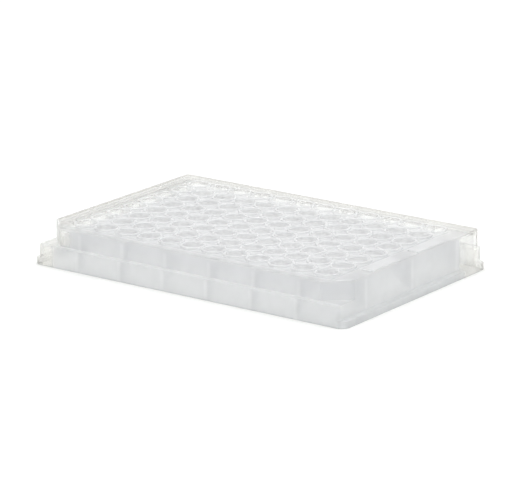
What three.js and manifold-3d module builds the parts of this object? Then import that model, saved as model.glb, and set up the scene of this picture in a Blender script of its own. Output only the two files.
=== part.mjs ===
// A 96-well microplate, moulded in one piece from natural polypropylene.
// Millimetres, +Z up. The origin is the centre of the base, +X runs along the long side
// towards column 12, and +Y runs along the short side towards row A.

import * as THREE from 'three';
import { mergeVertices } from 'three/addons/utils/BufferGeometryUtils.js';
import Module from 'manifold-3d';

const wasm = await Module();
wasm.setup();

// Overall sizes
const plateLength = 127.76; // over the base flanges, along X
const plateWidth = 85.48; // over the skirt, along Y
const plateHeight = 14.35; // from the base to the well rims

// Body and walls
const wallThickness = 1.2; // walls, skirt and flange alike
const deckThickness = 1.2;
const shoulderHeight = 7.5; // top of the ledge on the long sides
const shoulderDepth = 1.6; // how far the upper long walls stand in from the skirt
const flangeHeight = 2.5; // flange at the foot of the short sides
const flangeReach = 2.2; // how far the flange stands out from the short walls
const flangeRadius = 3.2; // corners of the flange, seen from above
const bodyRadius = 1.6; // corners of the skirt, and of the upper body on the row A side
const cornerChamfer = 8; // cut across the upper body's corners on the row H side

// Wells
const wellColumns = 12;
const wellRows = 8;
const wellPitch = 9;
const wellRadius = 3.45;
const wellWall = 0.8; // tube wall under the deck
const wellFloor = 3.8; // height of the tip of the conical bottom, inside
const wellCone = 2.9; // height of the conical bottom
const rimWall = 1; // rim wall round each mouth
const rimHeight = 0.7; // rims above the deck
const wellSides = 8; // facets round one well, which keep the area of its circle

// Deck details
const lipHeight = 0.35; // low lip round the deck's edge
const lipWidth = 0.7;
const labelLength = 16.4; // raised blank label pads beside column 12
const labelWidth = 4.4;
const labelHeight = 0.35;
const labelOffset = 13.5; // centre of each pad from the plate's middle, along Y
const labelGap = 1.2; // from the pads' outer edge to the short wall's face

// Ribs between the walls and the wells
const ribThickness = 1;
const longSideRibs = 6;
const longSideRibEvery = 2; // wells from one rib to the next on a long side
const shortSideRibs = 3;
const shortSideRibEvery = 3; // wells from one rib to the next on a short side
const ribFoot = 1.3; // lower end of the long sides' ribs, which rest on a plate stacked below
const ribFootDepth = 2.2; // how far those ribs stand in from the skirt, below the shoulder
const gussetFoot = 0.5; // lower end of the short sides' ribs, above the flange
const gussetFootDepth = 0.9; // how far those ribs stand in from the wall at their lower end

const sharpestCorner = 0.4; // smallest radius of a corner inside a wall or a lip
const overlap = 0.2; // how far joined solids run into each other

// Worked out from the sizes above
const deckTop = plateHeight - rimHeight;
const deckBottom = deckTop - deckThickness;
const bodyLength = plateLength - 2 * flangeReach;
const upperWidth = plateWidth - 2 * shoulderDepth;
const lastColumn = (wellColumns - 1) * wellPitch / 2;
const lastRow = (wellRows - 1) * wellPitch / 2;
const tubeRadius = wellRadius + wellWall;

// Manifold solid from a closed geometry
function solidOf(geometry) {
  geometry.deleteAttribute('normal');
  geometry.deleteAttribute('uv');
  const merged = mergeVertices(geometry, 1e-4);
  const index = merged.index.array;
  const kept = [];
  for (let i = 0; i < index.length; i += 3) {
    const [a, b, c] = index.slice(i, i + 3);
    if (a !== b && b !== c && c !== a) kept.push(a, b, c);
  }
  return new wasm.Manifold(new wasm.Mesh({
    numProp: 3,
    vertProperties: new Float32Array(merged.attributes.position.array),
    triVerts: new Uint32Array(kept),
  }));
}

// One solid from several that may touch or overlap
function joined(solids) {
  return solids.reduce((whole, solid) => whole.add(solid));
}

// Outline of a rectangle centred on the origin. The two corners on the +Y side are round,
// and so are the two on the -Y side unless they are cut straight across by a chamfer.
function plateOutline(length, width, radius, chamfer) {
  const x = length / 2;
  const y = width / 2;
  const cut = chamfer > 0 ? chamfer : radius;
  const outline = new THREE.Shape();
  outline.moveTo(-x + cut, -y);
  outline.lineTo(x - cut, -y);
  if (chamfer > 0) outline.lineTo(x, -y + cut);
  else outline.absarc(x - cut, -y + cut, cut, -Math.PI / 2, 0, false);
  outline.lineTo(x, y - radius);
  outline.absarc(x - radius, y - radius, radius, 0, Math.PI / 2, false);
  outline.lineTo(-x + radius, y);
  outline.absarc(-x + radius, y - radius, radius, Math.PI / 2, Math.PI, false);
  outline.lineTo(-x, -y + cut);
  if (chamfer > 0) outline.lineTo(-x + cut, -y);
  else outline.absarc(-x + cut, -y + cut, cut, Math.PI, 1.5 * Math.PI, false);
  return outline;
}

// Prism on an outline, from one height to another
function prism(outline, low, high) {
  const geometry = new THREE.ExtrudeGeometry(outline, {
    depth: high - low,
    bevelEnabled: false,
    curveSegments: 3,
  });
  geometry.translate(0, 0, low);
  return solidOf(geometry);
}

// Box given by its lowest and highest corners
function block(low, high) {
  const geometry = new THREE.BoxGeometry(high[0] - low[0], high[1] - low[1], high[2] - low[2]);
  geometry.translate((low[0] + high[0]) / 2, (low[1] + high[1]) / 2, (low[2] + high[2]) / 2);
  return solidOf(geometry);
}

// One turned shape at every well, from a profile of [radius, height] points
function atEveryWell(profile) {
  const sector = 2 * Math.PI / wellSides;
  const growth = Math.sqrt(sector / Math.sin(sector)); // circle's area held by the facets
  const points = profile.map(([radius, height]) => new THREE.Vector2(radius * growth, height));
  const turned = new THREE.LatheGeometry(points, wellSides);
  turned.rotateX(Math.PI / 2);
  turned.rotateZ(sector / 2);
  const copies = [];
  for (let column = 0; column < wellColumns; column += 1) {
    for (let row = 0; row < wellRows; row += 1) {
      const copy = turned.clone();
      copy.translate(column * wellPitch - lastColumn, lastRow - row * wellPitch, 0);
      copies.push(solidOf(copy));
    }
  }
  return joined(copies);
}

// Plate outlines, moved in from the outside by a wall or a lip
const flangeOutline = (inset) => plateOutline(
  plateLength - 2 * inset,
  plateWidth - 2 * inset,
  Math.max(flangeRadius - inset, sharpestCorner),
  0,
);
const skirtOutline = (inset) => plateOutline(
  bodyLength - 2 * inset,
  plateWidth - 2 * inset,
  Math.max(bodyRadius - inset, sharpestCorner),
  0,
);
const upperOutline = (inset) => plateOutline(
  bodyLength - 2 * inset,
  upperWidth - 2 * inset,
  Math.max(bodyRadius - inset, sharpestCorner),
  cornerChamfer - inset * (2 - Math.SQRT2),
);

// Outside of the walls, as prisms stacked face to face, with the lip round the deck
function outerBody() {
  return prism(flangeOutline(0), 0, flangeHeight)
    .add(prism(skirtOutline(0), flangeHeight, shoulderHeight))
    .add(prism(upperOutline(0), shoulderHeight, deckTop + lipHeight))
    .subtract(prism(upperOutline(lipWidth), deckTop, plateHeight));
}

// Hollow under the deck, one wall inside the flange, skirt and upper body
function underside() {
  const flangeCeiling = flangeHeight - wallThickness;
  const skirtCeiling = shoulderHeight - wallThickness;
  return prism(flangeOutline(wallThickness), -overlap, flangeCeiling)
    .add(prism(skirtOutline(wallThickness), flangeCeiling, skirtCeiling))
    .add(prism(upperOutline(wallThickness), skirtCeiling, deckBottom));
}

// Rib on a long side, as [distance from the middle, height] points: a web from the upper
// wall to the wells, with a narrow foot down the inside of the skirt
function longSideRib() {
  const skirtFace = plateWidth / 2 - wallThickness;
  const upperFace = upperWidth / 2 - wallThickness;
  const ledge = shoulderHeight - wallThickness;
  return [
    [skirtFace + overlap, ribFoot],
    [skirtFace + overlap, ledge + overlap],
    [upperFace + overlap, ledge + overlap],
    [upperFace + overlap, deckBottom + overlap],
    [lastRow, deckBottom + overlap],
    [lastRow, ledge],
    [skirtFace - ribFootDepth, ledge],
    [skirtFace - ribFootDepth, ribFoot],
  ];
}

// Rib on a short side, drawn the same way: a gusset that narrows towards the flange
function shortSideRib() {
  const face = bodyLength / 2 - wallThickness;
  const foot = flangeHeight + gussetFoot;
  return [
    [face + overlap, foot],
    [face + overlap, deckBottom + overlap],
    [lastColumn, deckBottom + overlap],
    [lastColumn, deckBottom - wallThickness],
    [face - gussetFootDepth, foot],
  ];
}

// Copies of one rib along both sides that it stands on, the +X and -X sides before the turn.
// Each stands a whole number of wells from the next, so that it meets the deck between wells.
function ribsAlong(points, count, every, quarterTurn) {
  const corners = points.map(([distance, height]) => new THREE.Vector2(distance, height));
  const rib = new THREE.ExtrudeGeometry(new THREE.Shape(corners), {
    depth: ribThickness,
    bevelEnabled: false,
  });
  rib.translate(0, 0, -ribThickness / 2);
  rib.rotateX(Math.PI / 2);
  const copies = [];
  for (let side = 0; side < 2; side += 1) {
    for (let i = 0; i < count; i += 1) {
      const copy = rib.clone();
      copy.translate(0, (i - (count - 1) / 2) * every * wellPitch, 0);
      copy.rotateZ(side * Math.PI + quarterTurn);
      copies.push(solidOf(copy));
    }
  }
  return joined(copies);
}

// Blank raised pads on the deck strip beside column 12
function labelPads() {
  const outer = bodyLength / 2 - labelGap;
  const pads = [-1, 1].map((side) => block(
    [outer - labelWidth, side * labelOffset - labelLength / 2, deckTop - overlap],
    [outer, side * labelOffset + labelLength / 2, deckTop + labelHeight],
  ));
  return pads[0].add(pads[1]);
}

// Tubes that hang from the deck and the rims that stand on it, both still solid
function wellTubes() {
  const tipHeight = wellFloor - wellWall;
  return atEveryWell([
    [0, tipHeight],
    [tubeRadius, tipHeight + wellCone],
    [tubeRadius, deckBottom + overlap],
    [0, deckBottom + overlap],
  ]);
}

function wellRims() {
  return atEveryWell([
    [0, deckTop - overlap],
    [wellRadius + rimWall, deckTop - overlap],
    [wellRadius + rimWall, plateHeight],
    [0, plateHeight],
  ]);
}

function wellHollows() {
  return atEveryWell([
    [0, wellFloor],
    [wellRadius, wellFloor + wellCone],
    [wellRadius, plateHeight + overlap],
    [0, plateHeight + overlap],
  ]);
}

const plateSolid = outerBody()
  .subtract(underside())
  .add(ribsAlong(longSideRib(), longSideRibs, longSideRibEvery, Math.PI / 2))
  .add(ribsAlong(shortSideRib(), shortSideRibs, shortSideRibEvery, 0))
  .add(wellTubes())
  .add(wellRims())
  .add(labelPads())
  .subtract(wellHollows());

// Drawable geometry from a finished solid
function geometryOf(solid) {
  const mesh = solid.getMesh();
  const geometry = new THREE.BufferGeometry();
  geometry.setAttribute('position', new THREE.BufferAttribute(mesh.vertProperties, 3));
  geometry.setIndex(new THREE.BufferAttribute(mesh.triVerts, 1));
  geometry.computeVertexNormals();
  return geometry;
}

const naturalPolypropylene = new THREE.MeshStandardMaterial({
  color: 0xe3e5e6,
  roughness: 0.42,
  metalness: 0,
});

const plate = new THREE.Group();
const wellPlate = new THREE.Mesh(geometryOf(plateSolid), naturalPolypropylene);
wellPlate.name = 'well_plate';
plate.add(wellPlate);

export default plate;
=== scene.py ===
import math

import bmesh
import bpy
import numpy as np
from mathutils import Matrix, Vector


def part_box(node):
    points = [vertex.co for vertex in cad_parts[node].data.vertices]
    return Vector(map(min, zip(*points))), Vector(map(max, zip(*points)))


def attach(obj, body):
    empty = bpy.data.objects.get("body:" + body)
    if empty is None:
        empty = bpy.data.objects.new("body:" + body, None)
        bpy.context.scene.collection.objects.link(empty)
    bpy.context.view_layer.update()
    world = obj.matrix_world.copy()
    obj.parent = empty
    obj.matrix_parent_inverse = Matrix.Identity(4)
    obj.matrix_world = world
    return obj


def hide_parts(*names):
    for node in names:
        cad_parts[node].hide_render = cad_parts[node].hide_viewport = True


# A 96-well microplate, moulded in one piece from natural polypropylene.
# Lengths are in millimetres here and turn to metres where a mesh is made. +X is the long
# side towards column 12, +Y the short side towards row A, +Z up out of the wells.

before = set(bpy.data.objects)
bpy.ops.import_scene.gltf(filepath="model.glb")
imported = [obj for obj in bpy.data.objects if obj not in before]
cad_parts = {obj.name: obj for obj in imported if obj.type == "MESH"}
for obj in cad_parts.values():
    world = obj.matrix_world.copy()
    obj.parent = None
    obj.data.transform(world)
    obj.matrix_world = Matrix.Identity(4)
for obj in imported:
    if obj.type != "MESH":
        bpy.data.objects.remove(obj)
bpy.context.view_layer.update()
plateLow, plateHigh = [[1000 * value for value in corner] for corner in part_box("well_plate")]
print("frame loaded")

body = {
    "length": plateHigh[0] - plateLow[0],
    "width": plateHigh[1] - plateLow[1],
    "height": plateHigh[2] - plateLow[2],
    "wall": 1.2,
    "deckThickness": 1.2,
    "shoulderHeight": 7.5,  # top of the ledge on the long sides
    "shoulderDepth": 1.6,
    "flangeHeight": 2.5,
    "flangeReach": 2.2,
    "flangeRadius": 3.2,
    "bodyRadius": 1.6,
    "cornerChamfer": 8.0,
    "chamferRounding": 0.8,
    "lipHeight": 0.35,
    "lipWidth": 0.7,
    "lipSlant": 0.1,
    "lipFootRadius": 0.12,
    "lipInnerRadius": 0.15,
    "draft": 0.06,  # fall of each ledge from the wall outwards
    "lean": 0.18,  # how far the walls lean in from the flange up to the deck
    "edgeRadius": 0.3,  # outer edges
    "footRadius": 0.2,  # inner corners
    "leastRadius": 0.4,  # of the corners of the outlines further in
    "sharpAngle": 35,
}

wells = {
    "columns": 12,
    "rows": 8,
    "pitch": 9.0,
    "mouthRadius": 3.5,
    "floorRadius": 3.35,  # the hollow narrows a little towards its bottom
    "tubeWall": 0.8,
    "floorHeight": 3.8,  # tip of the conical bottom, inside
    "coneHeight": 2.9,
    "coneRounding": 0.8,
    "rimWall": 0.95,
    "rimHeight": 0.7,
    "rimRadius": 0.32,
    "rimFootRadius": 0.12,
    "tubeFootRadius": 0.15,
    "samplesPerSide": 8,  # points along one side of a well's square cell
}

ribs = {
    "thickness": 1.0,
    "longSideCount": 6,
    "longSideEvery": 2,  # wells from one rib to the next
    "shortSideCount": 3,
    "shortSideEvery": 3,
    "foot": 1.3,
    "footDepth": 2.2,
    "gussetFoot": 3.0,
    "gussetFootDepth": 0.9,
    "sunk": 0.4,  # how far a rib runs into what carries it
    "edgeRadius": 0.15,
}

labels = {
    "length": 16.4,
    "width": 4.4,
    "height": 0.35,
    "offset": 13.5,
    "gap": 1.2,
    "sunk": 0.5,
    "edgeRadius": 0.12,
}

deckTop = body["height"] - wells["rimHeight"]
deckBottom = deckTop - body["deckThickness"]
bodyHalfLength = body["length"] / 2 - body["flangeReach"]
skirtHalfWidth = body["width"] / 2
upperHalfWidth = skirtHalfWidth - body["shoulderDepth"]
fieldHalfLength = wells["columns"] * wells["pitch"] / 2
fieldHalfWidth = wells["rows"] * wells["pitch"] / 2
lastRow = fieldHalfWidth - wells["pitch"] / 2
lastColumn = fieldHalfLength - wells["pitch"] / 2


def line(start, end, steps):
    # points from start up to but not including end
    share = np.arange(steps)[:, None] / steps
    return np.asarray(start) + share * (np.asarray(end) - np.asarray(start))


def arc(centre, radius, fromAngle, toAngle, steps):
    # points on a circle, up to but not including the last one
    angle = np.radians(fromAngle + (toAngle - fromAngle) * np.arange(steps) / steps)
    return np.asarray(centre) + radius * np.stack([np.cos(angle), np.sin(angle)], 1)


def cornerPoints(before, after, radius, chamfer):
    # one corner with its point at the origin: in along +x, out along +y. A quarter circle,
    # or a chamfer with both of its ends rounded. Always three times a cell side's points.
    n = wells["samplesPerSide"]
    if chamfer == 0:
        return np.concatenate([
            line((-before, 0), (-radius, 0), n),
            arc((-radius, radius), radius, -90, 0, n),
            line((0, radius), (0, after), n),
        ])
    rounding = body["chamferRounding"]
    reach = chamfer + rounding * math.tan(math.radians(22.5))
    firstCentre, lastCentre = (-reach, rounding), (-rounding, reach)
    slant = rounding * math.sin(math.radians(45))
    turnSteps = 3
    return np.concatenate([
        line((-before, 0), (-reach, 0), n),
        arc(firstCentre, rounding, -90, -45, turnSteps),
        line((-reach + slant, rounding - slant), (-rounding + slant, reach - slant), n - 2 * turnSteps),
        arc(lastCentre, rounding, -45, 0, turnSteps),
        line((0, reach), (0, after), n),
    ])


def outline(halfLength, halfWidth, radius=0.0, chamfer=0.0):
    # closed loop round the plate, counter-clockwise from the left end of the -Y side. The
    # chamfer is on the two -Y corners only. Every outline has the same number of points.
    n, pitch = wells["samplesPerSide"], wells["pitch"]
    innerX, innerY = fieldHalfLength - pitch, fieldHalfWidth - pitch
    stepsX, stepsY = (wells["columns"] - 2) * n, (wells["rows"] - 2) * n
    x, y = halfLength, halfWidth
    alongX, alongY = x - innerX, y - innerY
    quarterTurn = np.array([(0.0, 1.0), (-1.0, 0.0)])
    turns = [np.linalg.matrix_power(quarterTurn, i) for i in range(4)]
    # every corner is drawn as the first one and turned into place
    corners = [
        ((x, -y), cornerPoints(alongX, alongY, radius, chamfer)),
        ((x, y), cornerPoints(alongY, alongX, radius, 0)),
        ((-x, y), cornerPoints(alongX, alongY, radius, 0)),
        ((-x, -y), cornerPoints(alongY, alongX, radius, chamfer)),
    ]
    placed = [np.asarray(at) + points @ turn for (at, points), turn in zip(corners, turns)]
    return np.concatenate([
        line((-innerX, -y), (innerX, -y), stepsX), placed[0],
        line((x, -innerY), (x, innerY), stepsY), placed[1],
        line((innerX, y), (-innerX, y), stepsX), placed[2],
        line((-x, innerY), (-x, -innerY), stepsY), placed[3],
    ])


def upperOutline(inset):
    radius = max(body["bodyRadius"] - inset, body["leastRadius"])
    chamfer = body["cornerChamfer"] - inset * (2 - math.sqrt(2))
    return outline(bodyHalfLength - inset, upperHalfWidth - inset, radius, chamfer)


def skirtOutline(inset):
    radius = max(body["bodyRadius"] - inset, body["leastRadius"])
    return outline(bodyHalfLength - inset, skirtHalfWidth - inset, radius)


def flangeOutline(inset):
    radius = max(body["flangeRadius"] - inset, body["leastRadius"])
    return outline(body["length"] / 2 - inset, skirtHalfWidth - inset, radius)


def atHeight(loop, height):
    return np.column_stack([loop, np.full(len(loop), float(height))])


def carried(levels):
    # A profile carried round a loop. Each level is (points of one closed loop, rounding radius,
    # steps). Where it has a radius, its points give way to the quadratic curve
    # (1-t)^2 A + 2t(1-t) P + t^2 B, where A and B lie on the lines to the levels before and
    # after, a radius away from P or half way, whichever is nearer.
    rows = []
    halfWay = 0.49  # a little less than half, so that neighbouring curves stay apart
    for i, (points, radius, steps) in enumerate(levels):
        if radius == 0 or i in (0, len(levels) - 1):
            rows.append(points)
            continue
        ends = []
        for other in (levels[i - 1][0], levels[i + 1][0]):
            toOther = other - points
            length = np.linalg.norm(toOther, axis=1, keepdims=True)
            reach = np.minimum(radius, length * halfWay)
            ends.append(points + toOther * reach / np.maximum(length, 1e-9))
        for t in np.linspace(0, 1, steps + 1):
            rows.append((1 - t) ** 2 * ends[0] + 2 * t * (1 - t) * points + t ** 2 * ends[1])
    return np.stack(rows)


def gridQuads(rows, columns):
    # corners of the quads between neighbouring rows of closed loops, facing out
    r, c = np.meshgrid(np.arange(rows - 1), np.arange(columns), indexing="ij")
    after = (c + 1) % columns
    quads = [r * columns + c, (r + 1) * columns + c, (r + 1) * columns + after, r * columns + after]
    return np.stack(quads, -1).reshape(-1, 4)


def ring(radius, height):
    # one loop of a well's cell, at the angles of evenly spaced points on the cell's square
    square = cellSquare()
    angle = np.arctan2(square[:, 1], square[:, 0])
    return atHeight(radius * np.stack([np.cos(angle), np.sin(angle)], 1), height)


def cellSquare():
    half = wells["pitch"] / 2
    n = wells["samplesPerSide"]
    corners = [(-half, -half), (half, -half), (half, half), (-half, half)]
    return np.concatenate([line(corners[i], corners[(i + 1) % 4], n) for i in range(4)])


def wellTop():
    # the inside of a well, its mouth and rim, and its square of deck
    mouth, floor = wells["mouthRadius"], wells["floorRadius"]
    rimTop = body["height"]
    rimOutside = mouth + wells["rimWall"]
    tip = wells["floorHeight"]
    return carried([
        (ring(0, tip), 0, 0),
        (ring(floor, tip + wells["coneHeight"]), wells["coneRounding"], 2),
        (ring(mouth, rimTop), wells["rimRadius"], 3),
        (ring(rimOutside, rimTop), wells["rimRadius"], 3),
        (ring(rimOutside, deckTop), wells["rimFootRadius"], 1),
        (atHeight(cellSquare(), deckTop), 0, 0),
    ])


def wellUnderside():
    # the tube that hangs from the deck, down to the tip of its cone
    tube = wells["mouthRadius"] + wells["tubeWall"]
    tubeEnd = wells["floorRadius"] + wells["tubeWall"]
    tip = wells["floorHeight"] - wells["tubeWall"]
    return carried([
        (atHeight(cellSquare(), deckBottom), 0, 0),
        (ring(tube, deckBottom), wells["tubeFootRadius"], 1),
        (ring(tubeEnd, tip + wells["coneHeight"]), wells["coneRounding"], 2),
        (ring(0, tip), 0, 0),
    ])


def perimeter():
    # from the edge of the field of wells out over the lip, down the walls and back inside
    edge, foot = body["edgeRadius"], body["footRadius"]
    wall, draft, lip = body["wall"], body["draft"], body["lipWidth"]
    deckLean = body["lean"]
    shoulderLean = deckLean * (deckTop - body["shoulderHeight"]) / (deckTop - body["flangeHeight"])
    shoulder, flange = body["shoulderHeight"], body["flangeHeight"]
    lipTop = deckTop + body["lipHeight"]
    field = outline(fieldHalfLength, fieldHalfWidth)
    return carried([
        (atHeight(field, deckTop), 0, 0),
        (atHeight(upperOutline(deckLean + lip), deckTop), body["lipFootRadius"], 1),
        (atHeight(upperOutline(deckLean + lip - body["lipSlant"]), lipTop), body["lipInnerRadius"], 2),
        (atHeight(upperOutline(deckLean), lipTop), edge, 3),
        (atHeight(upperOutline(shoulderLean), shoulder), foot, 2),
        (atHeight(skirtOutline(shoulderLean), shoulder - draft), edge, 3),
        (atHeight(skirtOutline(0), flange), foot, 2),
        (atHeight(flangeOutline(0), flange - draft), edge, 3),
        (atHeight(flangeOutline(0), 0), foot, 2),
        (atHeight(flangeOutline(wall), 0), foot, 2),
        (atHeight(flangeOutline(wall), flange - wall - draft), foot, 1),
        (atHeight(skirtOutline(wall), flange - wall), foot, 1),
        (atHeight(skirtOutline(wall + shoulderLean), shoulder - wall - draft), foot, 2),
        (atHeight(upperOutline(wall + shoulderLean), shoulder - wall), foot, 2),
        (atHeight(upperOutline(wall + deckLean), deckBottom), foot, 2),
        (atHeight(field, deckBottom), 0, 0),
    ])


def slab(corners, bottom, top, radius):
    # A closed slab on an outline of corners, from bottom to top, with its edges rounded: loops
    # of the outline, shrunk towards its middle by the share that the rounding takes.
    loop = np.asarray(corners, float)
    middle = loop.mean(0)
    size = np.abs(loop - middle).max(0)
    shrunk = middle + (loop - middle) * (1 - radius / size)
    return [
        np.column_stack([shrunk, np.full(len(loop), bottom)]),
        np.column_stack([loop, np.full(len(loop), bottom + radius)]),
        np.column_stack([loop, np.full(len(loop), top - radius)]),
        np.column_stack([shrunk, np.full(len(loop), top)]),
    ]


def closedSlab(corners, bottom, top, radius):
    # vertices and faces of a slab, both ends closed by one face
    loops = slab(corners, bottom, top, radius)
    count = len(corners)
    faces = [list(reversed(quad)) for quad in gridQuads(len(loops), count).tolist()]
    faces.append(list(range(count))[::-1])
    faces.append(list(range((len(loops) - 1) * count, len(loops) * count)))
    return np.concatenate(loops), faces


def longSideRib():
    # (distance from the middle, height) corners: a web to the wells and a narrow foot
    skirtFace = skirtHalfWidth - body["wall"]
    upperFace = upperHalfWidth - body["wall"]
    ledge = body["shoulderHeight"] - body["wall"]
    sunk = ribs["sunk"]
    return [
        (skirtFace - ribs["footDepth"], ribs["foot"]),
        (skirtFace + sunk, ribs["foot"]),
        (skirtFace + sunk, ledge + sunk),
        (upperFace + sunk, ledge + sunk),
        (upperFace + sunk, deckBottom + sunk),
        (lastRow, deckBottom + sunk),
        (lastRow, ledge),
        (skirtFace - ribs["footDepth"], ledge),
    ]


def shortSideRib():
    # a gusset that narrows down towards the flange
    face = bodyHalfLength - body["wall"]
    sunk = ribs["sunk"]
    return [
        (face - ribs["gussetFootDepth"], ribs["gussetFoot"]),
        (face + sunk, ribs["gussetFoot"]),
        (face + sunk, deckBottom + sunk),
        (lastColumn, deckBottom + sunk),
        (lastColumn, deckBottom - body["wall"]),
    ]


def ribCopies(corners, count, every, firstTurn):
    # copies of one rib along two opposite sides
    half = ribs["thickness"] / 2
    points, faces = closedSlab(corners, -half, half, ribs["edgeRadius"])
    upright = points[:, [0, 2, 1]] * (1, -1, 1)
    pieces = []
    for side in range(2):
        angle = firstTurn + side * math.pi
        turn = np.array([
            (math.cos(angle), math.sin(angle), 0),
            (-math.sin(angle), math.cos(angle), 0),
            (0, 0, 1),
        ])
        for i in range(count):
            along = (i - (count - 1) / 2) * every * wells["pitch"]
            pieces.append(((upright + (0, along, 0)) @ turn, faces))
    return pieces


def labelPads():
    # two blank raised pads beside column 12
    outer = bodyHalfLength - labels["gap"]
    inner = outer - labels["width"]
    pieces = []
    for side in (-1, 1):
        low = side * labels["offset"] - labels["length"] / 2
        high = side * labels["offset"] + labels["length"] / 2
        corners = [(inner, low), (outer, low), (outer, high), (inner, high)]
        bottom = deckTop - labels["sunk"]
        top = deckTop + labels["height"]
        pieces.append(closedSlab(corners, bottom, top, labels["edgeRadius"]))
    return pieces


def stacked(parts):
    # one list of vertices and faces from several
    points, faces, start = [], [], 0
    for partPoints, partFaces in parts:
        points.append(partPoints)
        faces += [[start + index for index in face] for face in partFaces]
        start += len(partPoints)
    return np.concatenate(points), faces


def meshObject(name, points, faces):
    mesh = bpy.data.meshes.new(name)
    mesh.from_pydata((points / 1000).tolist(), [], faces)
    mesh.update()
    made = bpy.data.objects.new(name, mesh)
    bpy.context.scene.collection.objects.link(made)
    return made


def mergeByDistance(made, distance):
    # joins the seams between the cells and closes the tips of the cones
    shape = bmesh.new()
    shape.from_mesh(made.data)
    bmesh.ops.remove_doubles(shape, verts=shape.verts, dist=distance)
    bmesh.ops.dissolve_degenerate(shape, edges=shape.edges, dist=distance)
    shape.to_mesh(made.data)
    shape.free()


def applyModifiers(made):
    graph = bpy.context.evaluated_depsgraph_get()
    finished = bpy.data.meshes.new_from_object(made.evaluated_get(graph))
    made.modifiers.clear()
    made.data = finished


def plateSurface():
    # the whole moulding but its ribs and pads: 96 copies of a well's cell, above and below,
    # and the strip round them
    column, row = np.meshgrid(np.arange(wells["columns"]), np.arange(wells["rows"]), indexing="ij")
    x = column.ravel() * wells["pitch"] - lastColumn
    y = lastRow - row.ravel() * wells["pitch"]
    centres = np.column_stack([x, y, np.zeros(len(x))])
    parts = []
    for cell in (wellTop(), wellUnderside()):
        rowsOfCell, columnsOfCell = cell.shape[:2]
        everywhere = (cell[None] + centres[:, None, None]).reshape(-1, 3)
        quads = gridQuads(rowsOfCell, columnsOfCell)
        starts = np.arange(len(centres)) * rowsOfCell * columnsOfCell
        parts.append((everywhere, (quads[None] + starts[:, None, None]).reshape(-1, 4)))
    strip = perimeter()
    parts.append((strip.reshape(-1, 3), gridQuads(*strip.shape[:2])))
    starts = np.cumsum([0] + [len(points) for points, _ in parts[:-1]])
    points = np.concatenate([points for points, _ in parts])
    quads = np.concatenate([quads + start for (_, quads), start in zip(parts, starts)])
    return points, quads.tolist()


seamGap = 2e-6  # in metres
plateShape = meshObject("wellPlate", *plateSurface())
mergeByDistance(plateShape, seamGap)
print("plate surface", len(plateShape.data.polygons), "faces")

addedParts = ribCopies(longSideRib(), ribs["longSideCount"], ribs["longSideEvery"], math.pi / 2)
addedParts += ribCopies(shortSideRib(), ribs["shortSideCount"], ribs["shortSideEvery"], 0.0)
addedParts += labelPads()
ribShape = meshObject("ribsAndPads", *stacked(addedParts))
join = plateShape.modifiers.new("joinRibs", "BOOLEAN")
join.operation = "UNION"
join.solver = "MANIFOLD"
join.object = ribShape
applyModifiers(plateShape)
bpy.data.objects.remove(ribShape)
print("ribs joined", len(plateShape.data.polygons), "faces")

plateShape.data.set_sharp_from_angle(angle=math.radians(body["sharpAngle"]))
for polygon in plateShape.data.polygons:
    polygon.use_smooth = True
weighted = plateShape.modifiers.new("flatFaces", "WEIGHTED_NORMAL")
weighted.keep_sharp = True


def srgb(code):
    # linear colour from a hex value
    channels = [int(code[i:i + 2], 16) / 255 for i in (1, 3, 5)]
    return [c / 12.92 if c <= 0.04045 else ((c + 0.055) / 1.055) ** 2.4 for c in channels] + [1.0]


def addNode(material, kind, settings=None, links=None):
    # one node with its settings and what feeds its inputs
    node = material.node_tree.nodes.new(kind)
    for key, value in (settings or {}).items():
        if isinstance(key, int) or key in node.inputs.keys():
            node.inputs[key].default_value = value
        else:
            setattr(node, key, value)
    for key, source in (links or {}).items():
        material.node_tree.links.new(source, node.inputs[key])
    return node


# Natural polypropylene is clear but slightly cloudy. Shares of the light at each surface:
# straight passes without bending, forward is scattered to the far side, bent is what bends
# through of the rest, and what remains scatters back. The plate is one plastic, but it looks
# milkier or clearer with what stands behind a surface, so each zone has its own shares.
clearCorners = {
    "straight": 0.6,
    "forward": 0.05,
    "bent": 0.85,
    "roughness": 0.12,
    "color": "#f9f8f4",
}

milkyWalls = {
    "straight": 0.45,
    "forward": 0.1,
    "bent": 0.65,
    "roughness": 0.35,
    "color": "#f1f2f4",
}

wallOverRib = {  # painted light: the lighter upright lines where a rib meets the wall, and a painted highlight along the ledge
    "straight": 0.35,
    "forward": 0.1,
    "bent": 0.2,
    "roughness": 0.3,
    "color": "#ffffff",
}

milkyStrip = {  # the strip of deck in front of the wells
    "straight": 0.45,
    "forward": 0.1,
    "bent": 0.78,
    "roughness": 0.35,
    "color": "#f3f3f4",
}

shadedFarStrip = {  # the same strip behind them, on the sides of row A and column 1, with painted shade: darker and warmer than the strip in front
    "straight": 0.42,
    "forward": 0.1,
    "bent": 0.75,
    "roughness": 0.25,
    "color": "#e6e4e0",
}

shadedFarLip = {  # its lip, with painted shade that draws it as the thin darker line it shows edge on
    "straight": 0.15,
    "forward": 0.0,
    "bent": 0.9,
    "roughness": 0.15,
    "color": "#cfccc7",
}

shadedCornerEdges = {  # upright edges of the clear corners, with painted shade for the dark outlines they show
    "straight": 0.1,
    "forward": 0.0,
    "bent": 0.85,
    "roughness": 0.15,
    "color": "#a8a49c",
}

shadedChamferFace = {  # painted shade on the chamfer at the clear corner by column 1, darker than the walls beside it
    "straight": 0.3,
    "forward": 0.1,
    "bent": 0.7,
    "roughness": 0.3,
    "color": "#e6e5e3",
}

clearUpperWall = {  # between the ledge and the deck, on the sides of row A and column 1
    "straight": 0.74,
    "forward": 0.1,
    "bent": 0.6,
    "roughness": 0.25,
    "color": "#ffffff",
}

fieldOfWells = {
    "straight": 0.5,
    "forward": 0.25,
    "bent": 0.25,
    "roughness": 0.2,
    "color": "#fcfcfd",
}

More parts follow.
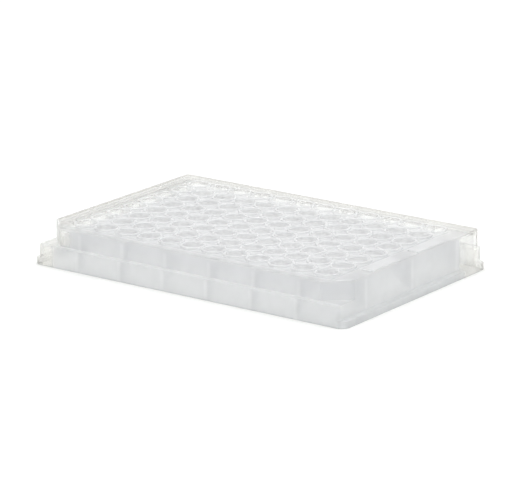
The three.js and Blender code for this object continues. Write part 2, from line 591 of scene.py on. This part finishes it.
insideWells = {  # cavities and tubes, below the deck's top
    "straight": 0.7,
    "forward": 0.3,
    "bent": 0.4,
    "roughness": 0.3,
    "color": "#fcfcfd",
}

lastWellWalls = {  # far walls of row A's and column 1's wells, which light comes through
    "straight": 0.92,
    "forward": 0.1,
    "bent": 0.6,
    "roughness": 0.2,
    "color": "#ffffff",
}

rimsAndPads = {
    "straight": 0.4,
    "forward": 0.15,
    "bent": 0.4,
    "roughness": 0.3,
    "color": "#ffffff",
}

plastic = {
    "ior": 1.4,
    "specular": 0.3,
    "coatIor": 1.5,
    "coatRoughness": 0.15,  # of the raised rims and pads, which came off polished steel
    "clearLength": 7.5,  # of each clear corner, from the plate's end along its long side
    "clearLengthAbove": 6.0,  # more above the ledge
    "clearWidth": 13.5,  # the same along its short side
    "clearRimHeight": 0.4,  # of the last wells' rims; above it they are as frosted as the others
    # how strongly the painted light over the ribs and the painted highlight on the ledge show
    "paintedRibLight": 0.25,
    "paintedLedgeHighlight": 0.35,
    "absorbedColor": "#a8a498",
    "absorbedPerMetre": 30.0,
    "cloudSize": 9.0,  # of the faint clouds that the flow of the melt leaves
    "cloudDetail": 2.0,
    "cloudStraight": 0.12,
    "cloudRoughness": 0.15,
    "grainSize": 0.6,  # of the spark-eroded grain, really 0.15 and drawn coarser so that it shows
    "grainDetail": 1.0,
    "grainDepth": 0.02,
    "grainStrength": 0.3,
}

# Where each zone fades in, in millimetres: how far out or up from the line that it is measured
# from its share is 0, and how far it is 1.
fades = {
    "field": (1.5, 0.0),
    "onShoulder": (0.0, 0.3),
    "offFlange": (0.0, 0.3),
    "clearCorner": (3.0, 0.0),
    "hazyCorner": (40.0, 70.0),  # from the line where x and y are equal
    "ribBehind": (0.6, -0.2),
    "ribBelowDeck": (0.9, -0.5),
    "ribAboveFlange": (0.0, 0.6),
    "ledgeBelow": (-0.7, -0.2),
    "ledgeAbove": (0.3, 0.05),
    "ledgeOutside": (-0.4, -0.1),
    "farWidth": (-2.0, 1.0),
    "farLength": (0.0, 3.0),
    "nearStrip": (-0.4, -0.1),
    "farStrip": (-0.4, 0.0),
    "shadedFarLip": (0.02, 0.12),
    "upperWallAbove": (0.0, 1.0),
    "upperWallBelow": (-0.2, -0.6),
    "rowSide": (0.0, 1.0),
    "chamfer": (-0.4, -0.1),
    "upperCorner": (-1.7, -1.3),
    "skirtCorner": (-1.5, -1.1),
    "flangeCorner": (-2.4, -2.1),
    "lastWall": (0.5, 2.0),
    "inWell": (-0.15, -0.6),
    "insideLipLength": (-0.9, -1.1),
    "insideLipWidth": (2.0, 1.0),
    "raised": (0.05, 0.2),
}


def calculated(made, operation, *inputs):
    # one Math node on numbers and sockets
    node = addNode(made, "ShaderNodeMath", {"operation": operation})
    for i, value in enumerate(inputs):
        if isinstance(value, (int, float)):
            node.inputs[i].default_value = value
        else:
            made.node_tree.links.new(value, node.inputs[i])
    return node.outputs[0]


def times(made, first, *others):
    product = first
    for other in others:
        product = calculated(made, "MULTIPLY", product, other)
    return product


def most(made, first, *others):
    largest = first
    for other in others:
        largest = calculated(made, "MAXIMUM", largest, other)
    return largest


def rest(made, share):
    return calculated(made, "SUBTRACT", 1.0, share)


def faded(made, source, line, name):
    # 0 to 1 across the named fade at a line, in millimetres, with soft ends
    zeroAt, oneAt = fades[name]
    return addNode(made, "ShaderNodeMapRange", {
        "interpolation_type": "SMOOTHSTEP",
        "From Min": (line + zeroAt) / 1000,
        "From Max": (line + oneAt) / 1000,
    }, {"Value": source}).outputs[0]


def blended(made, share, first, second):
    # from first to second by a share, for numbers and sockets
    node = addNode(made, "ShaderNodeMix", {"data_type": "FLOAT"}, {0: share})
    for i, value in ((2, first), (3, second)):
        if isinstance(value, (int, float)):
            node.inputs[i].default_value = value
        else:
            made.node_tree.links.new(value, node.inputs[i])
    return node.outputs[0]


def plateZones(made):
    # Zones by place, as pairs of a share from 0 to 1 and what the zone looks like. Each covers
    # the ones before it, and the clear corners lie under them all.
    place = addNode(made, "ShaderNodeTexCoord")
    parts = addNode(made, "ShaderNodeSeparateXYZ", None, {0: place.outputs["Object"]})
    x, y = parts.outputs[0], parts.outputs[1]
    along, across, up = [calculated(made, "ABSOLUTE", parts.outputs[i]) for i in range(3)]
    toColumn1 = calculated(made, "MULTIPLY", x, -1.0)
    toRowH = calculated(made, "MULTIPLY", y, -1.0)
    shoulder, flange = body["shoulderHeight"], body["flangeHeight"]

    inLength = faded(made, along, fieldHalfLength, "field")
    inWidth = faded(made, across, fieldHalfWidth, "field")
    field = times(made, inLength, inWidth)
    outsideField = rest(made, field)
    aboveShoulder = faded(made, up, shoulder, "onShoulder")
    offFlange = faded(made, up, flange, "offFlange")

    # the walls between the corners, and two opposite corners that are as milky as the walls
    longerAbove = times(made, aboveShoulder, plastic["clearLengthAbove"] / 1000)
    lengthwise = calculated(made, "ADD", along, longerAbove)
    betweenEnds = faded(made, lengthwise, bodyHalfLength - plastic["clearLength"], "clearCorner")
    betweenSides = faded(made, across, upperHalfWidth - plastic["clearWidth"], "clearCorner")
    fromDiagonal = calculated(made, "ABSOLUTE", calculated(made, "SUBTRACT", y, x))
    hazyCorner = faded(made, fromDiagonal, 0.0, "hazyCorner")
    middle = most(made, betweenEnds, betweenSides, hazyCorner)

    # by distance from the nearest rib; the ribs stand a whole number of wells apart
    longHalfPitch = ribs["longSideEvery"] * wells["pitch"] / 2000
    shortHalfPitch = ribs["shortSideEvery"] * wells["pitch"] / 2000
    fromGap = calculated(made, "PINGPONG", along, longHalfPitch)
    fromLongRib = calculated(made, "SUBTRACT", longHalfPitch, fromGap)
    fromShortRib = calculated(made, "PINGPONG", across, shortHalfPitch)
    aboveFlange = faded(made, up, flange, "ribAboveFlange")
    atLongRib = times(made, faded(made, fromLongRib, ribs["thickness"] / 2, "ribBehind"),
                      rest(made, inWidth))
    atShortRib = times(made, faded(made, fromShortRib, ribs["thickness"] / 2, "ribBehind"),
                       calculated(made, "SUBTRACT", aboveFlange, inLength))
    # painted lighter lines over the ribs, and a painted highlight along the ledge
    overRib = times(made, most(made, atLongRib, atShortRib),
                    faded(made, up, deckBottom, "ribBelowDeck"), plastic["paintedRibLight"])
    ledge = times(made, faded(made, up, shoulder, "ledgeBelow"),
                  faded(made, up, shoulder, "ledgeAbove"),
                  faded(made, across, upperHalfWidth, "ledgeOutside"), plastic["paintedLedgeHighlight"])
    paintedRibAndLedgeLight = most(made, overRib, ledge)

    # round the field, on row A's and column 1's side and on the other two
    farWalls = most(made, faded(made, y, fieldHalfWidth, "farWidth"),
                    faded(made, toColumn1, fieldHalfLength, "farLength"))
    farOutside = times(made, outsideField, farWalls)
    nearOutside = calculated(made, "SUBTRACT", outsideField, farOutside)
    nearStrip = times(made, faded(made, up, deckTop, "nearStrip"), nearOutside)
    # painted shade: the strip behind the wells darker and warmer than the one in front
    farStrip = times(made, faded(made, up, deckBottom, "farStrip"), farOutside)
    # painted shade: the far lip as a thin darker line
    lip = times(made, faded(made, up, deckTop, "shadedFarLip"), farOutside)
    farUpperWall = times(made, faded(made, up, shoulder, "upperWallAbove"),
                         faded(made, up, deckBottom, "upperWallBelow"), farOutside)

    # the corners, by the sum of both distances from the middle
    cornerSum = calculated(made, "ADD", along, across)
    upperCorner = bodyHalfLength + upperHalfWidth
    skirtCorner = bodyHalfLength + skirtHalfWidth
    flangeCorner = body["length"] / 2 + skirtHalfWidth
    chamferEdge = upperCorner - body["cornerChamfer"] - body["lean"] * 2
    clearCorner = rest(made, hazyCorner)
    # painted shade on the chamfer face
    chamfer = times(made, aboveShoulder, faded(made, toRowH, 0.0, "rowSide"),
                    faded(made, cornerSum, chamferEdge, "chamfer"), clearCorner)
    # painted shade: dark outlines along the upright edges of the clear corners
    upperEdge = times(made, aboveShoulder, faded(made, y, 0.0, "rowSide"),
                      faded(made, cornerSum, upperCorner, "upperCorner"))
    skirtEdge = times(made, calculated(made, "SUBTRACT", offFlange, aboveShoulder),
                      faded(made, cornerSum, skirtCorner, "skirtCorner"))
    flangeEdge = times(made, rest(made, offFlange),
                       faded(made, cornerSum, flangeCorner, "flangeCorner"))
    cornerEdgeShade = times(made, most(made, upperEdge, skirtEdge, flangeEdge), clearCorner)

    inWell = times(made, faded(made, up, deckTop, "inWell"), field)
    lastHalf = most(made, faded(made, y, lastRow, "lastWall"),
                    faded(made, toColumn1, lastColumn, "lastWall"))
    lastWalls = times(made, field, lastHalf)
    clearRim = times(made, lastWalls, plastic["clearRimHeight"] / 1000)
    overClearRim = calculated(made, "SUBTRACT", up, clearRim)
    raised = times(made, faded(made, overClearRim, deckTop, "raised"),
                   faded(made, along, bodyHalfLength, "insideLipLength"),
                   faded(made, across, fieldHalfWidth, "insideLipWidth"))
    return [
        (middle, milkyWalls),
        (paintedRibAndLedgeLight, wallOverRib),
        (nearStrip, milkyStrip),
        (farStrip, shadedFarStrip),
        (lip, shadedFarLip),
        (farUpperWall, clearUpperWall),
        (chamfer, shadedChamferFace),
        (cornerEdgeShade, shadedCornerEdges),
        (field, fieldOfWells),
        (inWell, insideWells),
        (lastWalls, lastWellWalls),
        (raised, rimsAndPads),
    ]


def naturalPolypropylene():
    # At each surface the straight share passes untouched. Of the rest, the forward share
    # scatters on, and what is left meets a satin wall that bends and reflects it. Inside, a
    # faint brown absorption darkens the light that runs along the plastic.
    made = bpy.data.materials.new("naturalPolypropylene")
    made.use_nodes = True
    made.node_tree.nodes.clear()
    zones = plateZones(made)

    def byZone(key):
        value = clearCorners[key]
        for share, zone in zones:
            value = blended(made, share, value, zone[key])
        return value

    def scatterByZone():
        color = srgb(clearCorners["color"])
        for share, zone in zones:
            node = addNode(made, "ShaderNodeMix", {"data_type": "RGBA", 7: srgb(zone["color"])}, {0: share})
            if isinstance(color, list):
                node.inputs[6].default_value = color
            else:
                made.node_tree.links.new(color, node.inputs[6])
            color = node.outputs[2]
        return color

    # clouds and grain, with scales per metre from their sizes
    place = addNode(made, "ShaderNodeTexCoord").outputs["Object"]
    clouds = addNode(made, "ShaderNodeTexNoise", {
        "Scale": 1000 / plastic["cloudSize"],
        "Detail": plastic["cloudDetail"],
    }, {0: place})
    grain = addNode(made, "ShaderNodeTexNoise", {
        "Scale": 1000 / plastic["grainSize"],
        "Detail": plastic["grainDetail"],
    }, {0: place})
    relief = addNode(made, "ShaderNodeBump", {
        "Strength": plastic["grainStrength"],
        "Distance": plastic["grainDepth"] / 1000,
    }, {"Height": grain.outputs[0]})
    noiseMiddle = 0.5
    cloud = calculated(made, "SUBTRACT", clouds.outputs[0], noiseMiddle)

    def clouded(value, amount):
        return calculated(made, "ADD", value, times(made, cloud, amount))

    scatter = scatterByZone()
    straight = clouded(byZone("straight"), plastic["cloudStraight"])
    forward = calculated(made, "DIVIDE", byZone("forward"), rest(made, straight))
    wall = addNode(made, "ShaderNodeBsdfPrincipled", {
        "IOR": plastic["ior"],
        "Specular IOR Level": plastic["specular"],
        "Coat IOR": plastic["coatIor"],
        "Coat Roughness": plastic["coatRoughness"],
    }, {
        "Base Color": scatter,
        "Roughness": clouded(byZone("roughness"), plastic["cloudRoughness"]),
        "Transmission Weight": byZone("bent"),
        "Coat Weight": zones[-1][0],
        "Normal": relief.outputs[0],
    })
    scattered = addNode(made, "ShaderNodeBsdfTranslucent", None, {"Color": scatter})
    unbent = addNode(made, "ShaderNodeBsdfTransparent")
    milky = addNode(made, "ShaderNodeMixShader", None,
                    {0: forward, 1: wall.outputs[0], 2: scattered.outputs[0]})
    surface = addNode(made, "ShaderNodeMixShader", None,
                      {0: straight, 1: milky.outputs[0], 2: unbent.outputs[0]})
    inside = addNode(made, "ShaderNodeVolumeAbsorption", {
        "Color": srgb(plastic["absorbedColor"]),
        "Density": plastic["absorbedPerMetre"],
    })
    addNode(made, "ShaderNodeOutputMaterial", None,
            {"Surface": surface.outputs[0], "Volume": inside.outputs[0]})
    return made


plateShape.data.materials.clear()
plateShape.data.materials.append(naturalPolypropylene())
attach(plateShape, "root")
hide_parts("well_plate")
print("plate finished")

studio = {
    "floorColor": "#fafaf7",
    "floorRoughness": 0.9,
    "floorSize": 6.0,  # this and the lights' places and sizes are in metres
    "world": 0.51,
    "worldColor": "#f8fbff",
}

softbox = {
    "place": (0.0, 0.0, 1.3),
    "size": (2.0, 2.0),
    "radiance": 1.65,
    "color": "#ffffff",
}

backLight = {
    "place": (-0.9, 1.5, 0.45),
    "size": (2.0, 0.8),
    "radiance": 0.55,
    "color": "#ffffff",
}


def paleFloor():
    # matt card, which sends the light from above back up through the plate
    made = bpy.data.materials.new("paleFloor")
    made.use_nodes = True
    made.node_tree.nodes.clear()
    card = addNode(made, "ShaderNodeBsdfPrincipled", {
        "Base Color": srgb(studio["floorColor"]),
        "Roughness": studio["floorRoughness"],
    })
    addNode(made, "ShaderNodeOutputMaterial", None, {"Surface": card.outputs[0]})
    return made


def areaLight(name, settings):
    # a soft light that faces the plate, with its radiance in the scene's units
    width, height = settings["size"]
    light = bpy.data.lights.new(name, "AREA")
    light.shape = "RECTANGLE"
    light.size = width
    light.size_y = height
    light.energy = settings["radiance"] * math.pi * width * height
    light.color = srgb(settings["color"])[:3]
    made = bpy.data.objects.new(name, light)
    made.location = settings["place"]
    made.rotation_euler = Vector(settings["place"]).to_track_quat("Z", "Y").to_euler()
    bpy.context.scene.collection.objects.link(made)


floorCorners = np.array([(-1.0, -1.0, 0.0), (1.0, -1.0, 0.0), (1.0, 1.0, 0.0), (-1.0, 1.0, 0.0)])
floor = meshObject("studioFloor", floorCorners * 1000 * studio["floorSize"] / 2, [[0, 1, 2, 3]])
floor.data.materials.append(paleFloor())

world = bpy.data.worlds.new("studioAir")
world.use_nodes = True
air = world.node_tree.nodes["Background"]
air.inputs["Color"].default_value = srgb(studio["worldColor"])
air.inputs["Strength"].default_value = studio["world"]
bpy.context.scene.world = world

areaLight("softbox", softbox)
areaLight("backLight", backLight)
print("studio lit")

view = {
    "azimuth": 35.87,
    "elevation": 16.1,
    "distance": 1079.1,
    "lens": 221.45,
    "sensor": 36,
    "aim": (-3.0, 4.0, 4.2),
    "nearest": 0.01,  # this and the next in metres
    "farthest": 50,
}
azimuth = math.radians(view["azimuth"])
elevation = math.radians(view["elevation"])
sideways = math.cos(elevation)
away = np.array([math.sin(azimuth) * sideways, -math.cos(azimuth) * sideways, math.sin(elevation)])
place = away * view["distance"] + (0, 0, body["height"] / 2)
cameraData = bpy.data.cameras.new("camera")
cameraData.lens = view["lens"]
cameraData.sensor_width = view["sensor"]
cameraData.clip_start = view["nearest"]
cameraData.clip_end = view["farthest"]
camera = bpy.data.objects.new("camera", cameraData)
bpy.context.scene.collection.objects.link(camera)
camera.location = place / 1000
towards = Vector(view["aim"]) - Vector(place)
camera.rotation_euler = towards.to_track_quat("-Z", "Y").to_euler()
bpy.context.scene.camera = camera
bpy.context.scene.view_settings.view_transform = "Standard"

bounces = {  # many, because the walls of many wells lie behind each other
    "all": 32,
    "diffuse": 12,
    "glossy": 12,
    "transmission": 32,
    "transparent": 64,
}
cycles = bpy.context.scene.cycles
cycles.max_bounces = bounces["all"]
cycles.diffuse_bounces = bounces["diffuse"]
cycles.glossy_bounces = bounces["glossy"]
cycles.transmission_bounces = bounces["transmission"]
cycles.transparent_max_bounces = bounces["transparent"]
